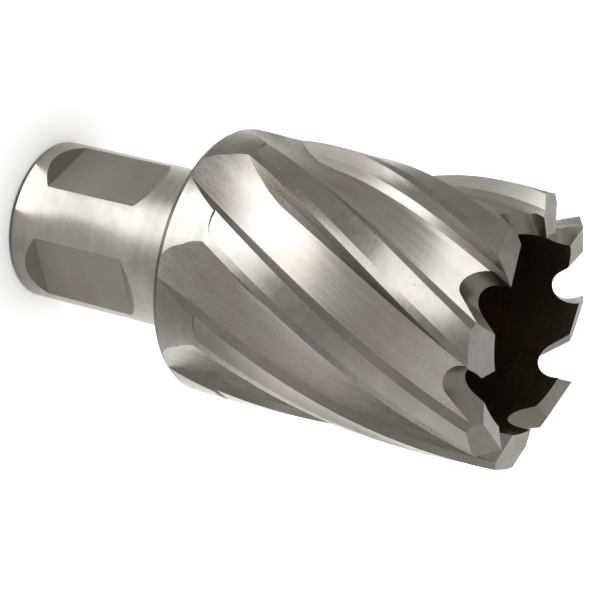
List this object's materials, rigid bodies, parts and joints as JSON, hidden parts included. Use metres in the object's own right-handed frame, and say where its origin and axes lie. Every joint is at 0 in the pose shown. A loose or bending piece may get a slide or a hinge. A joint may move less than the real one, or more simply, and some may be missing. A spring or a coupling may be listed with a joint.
{
  "type": "annular cutter",
  "caption": "Fluted hollow cutter with helical flutes, toothed open end, core cavity and a plain shank with two clamping flats.",
  "frame": {"origin": "centre of the driving end face of the shank, the lowest face", "axes": "+Z along the cutter's axis from the shank to the teeth; +X is the side that the picture faces, near the middle between the two clamping flats"},
  "size_m": [0.0312, 0.0312, 0.0646],
  "materials": {
    "ground_steel": "satin"
  },
  "bodies": {
    "root": {"cutter": "ground_steel"}
  },
  "joints": []
}
